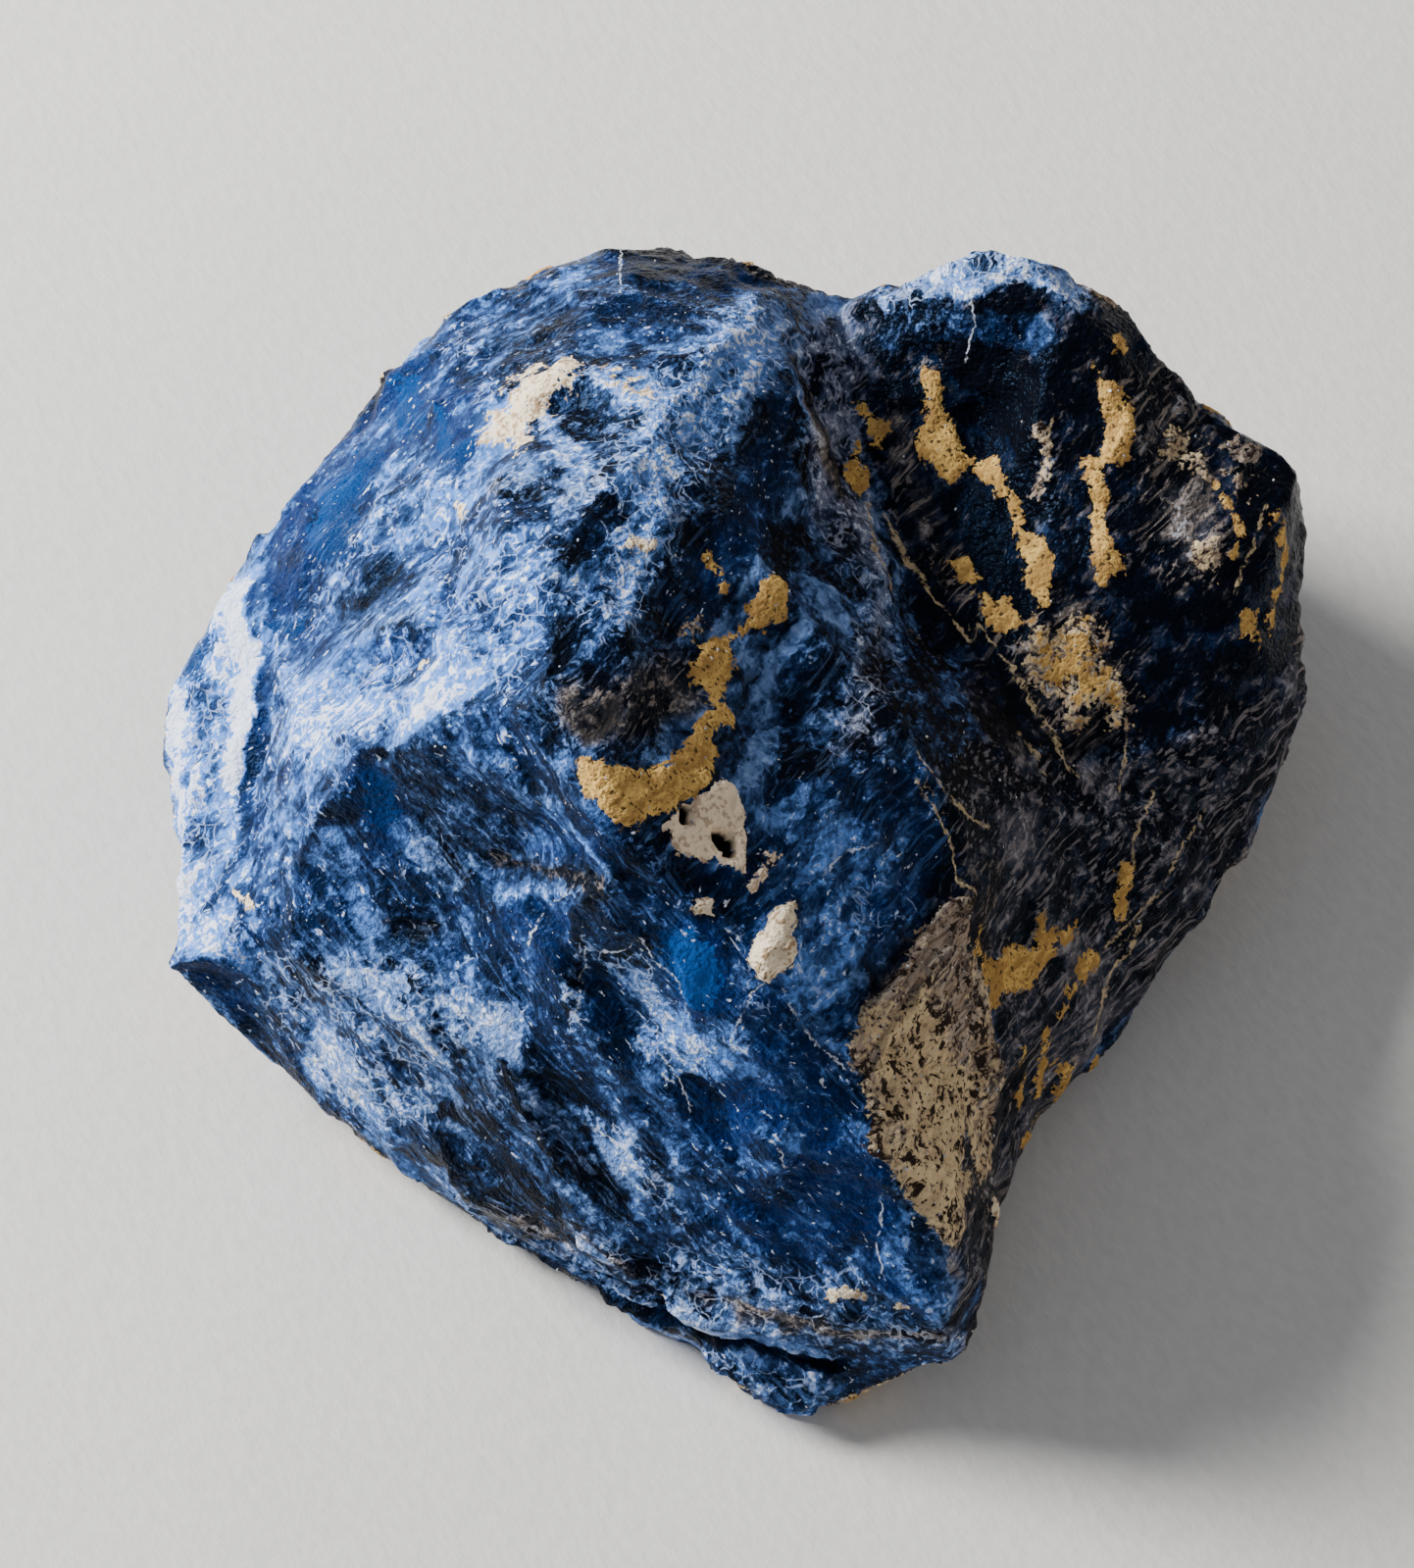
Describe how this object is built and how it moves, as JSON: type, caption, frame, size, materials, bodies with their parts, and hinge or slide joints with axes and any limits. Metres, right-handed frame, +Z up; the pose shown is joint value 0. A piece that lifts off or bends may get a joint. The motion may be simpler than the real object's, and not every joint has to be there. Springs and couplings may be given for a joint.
{
  "type": "sodalite stone",
  "caption": "Rough hand-sized chunk of sodalite with ridged, chipped fracture faces, resting on a flat face.",
  "frame": {"origin": "middle of the stone's plan, on the plane it rests on", "axes": "+Z up from the resting face to the peak, +Y from the faceted front towards the rounded back, +X from the peak's side towards the low shoulder"},
  "size_m": [0.0806, 0.0822, 0.0455],
  "materials": {
    "sodalite": "rough broken sodalite, deep blue to near black with white and ochre crusts, waxy sheen on fresh breaks"
  },
  "bodies": {
    "root": {"sodalite_stone": "sodalite"}
  },
  "joints": []
}
